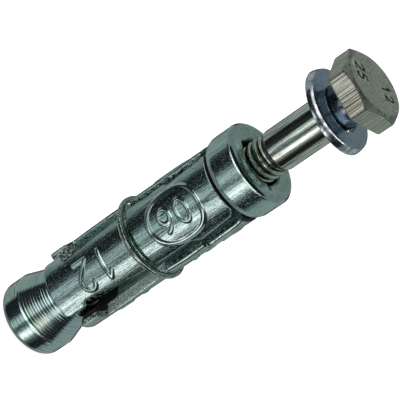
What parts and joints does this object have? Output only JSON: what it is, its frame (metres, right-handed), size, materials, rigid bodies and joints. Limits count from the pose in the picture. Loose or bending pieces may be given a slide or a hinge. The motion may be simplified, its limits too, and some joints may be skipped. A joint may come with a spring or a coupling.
{
  "type": "shield anchor bolt",
  "caption": "Steel shield anchor: a tapered nut, loose segments held by a wire ring and a collar, and a hexagon bolt with a washer that draws the nut in to spread them.",
  "frame": {"origin": "middle of the flat end of the tapered nut, on the bolt's axis", "axes": "+Z along the bolt's axis towards its head; -Y faces the middle of the front segment within a few degrees"},
  "size_m": [0.0126, 0.0126, 0.064],
  "materials": {
    "nut_zinc": "bright zinc plate over turned steel",
    "segment_zinc": "bright zinc plate over pressed steel",
    "collar_zinc": "bright zinc plate over drawn steel",
    "wire_zinc": "dull zinc plate on wire",
    "washer_zinc": "bright zinc plate on stamped steel",
    "bolt_zinc": "bright zinc plate on a forged and rolled bolt"
  },
  "bodies": {
    "nut": {"tapered_nut": "nut_zinc"},
    "shield": {"ferrule": "collar_zinc", "wire_ring": "wire_zinc"},
    "front_segment": {"segment_front": "segment_zinc"},
    "left_segment": {"segment_left": "segment_zinc"},
    "right_segment": {"segment_right": "segment_zinc"},
    "washer": {"washer": "washer_zinc"},
    "bolt": {"hex_bolt": "bolt_zinc"}
  },
  "joints": [
    {"name": "bolt_advance", "type": "slide", "parent": "nut", "child": "washer", "axis": [0, 0, 1], "range_m": [-0.0115, 0.005]},
    {"name": "bolt_turn", "type": "hinge", "parent": "washer", "child": "bolt", "pos_m": [0, 0, 0.058], "axis": [0, 0, 1], "range_deg": [-4141, 1801]},
    {"name": "shield_set", "type": "slide", "parent": "nut", "child": "shield", "axis": [0, 0, -1], "range_m": [0, 0.0016]},
    {"name": "front_spread", "type": "hinge", "parent": "shield", "child": "front_segment", "pos_m": [-0.00061, -0.00496, 0.0416], "axis": [-0.9925, 0.1219, 0], "range_deg": [0, 0.86]},
    {"name": "left_spread", "type": "hinge", "parent": "shield", "child": "left_segment", "pos_m": [-0.00399, 0.00301, 0.0416], "axis": [0.6018, 0.7986, 0], "range_deg": [0, 0.86]},
    {"name": "right_spread", "type": "hinge", "parent": "shield", "child": "right_segment", "pos_m": [0.00476, 0.00155, 0.0416], "axis": [0.309, -0.9511, 0], "range_deg": [0, 0.86]}
  ],
  "couplings": [
    {"joint": "bolt_turn", "follows": "bolt_advance", "rad_per_m": 6283.2},
    {"joint": "front_spread", "follows": "shield_set", "rad_per_m": 9.285},
    {"joint": "left_spread", "follows": "shield_set", "rad_per_m": 9.285},
    {"joint": "right_spread", "follows": "shield_set", "rad_per_m": 9.285}
  ]
}
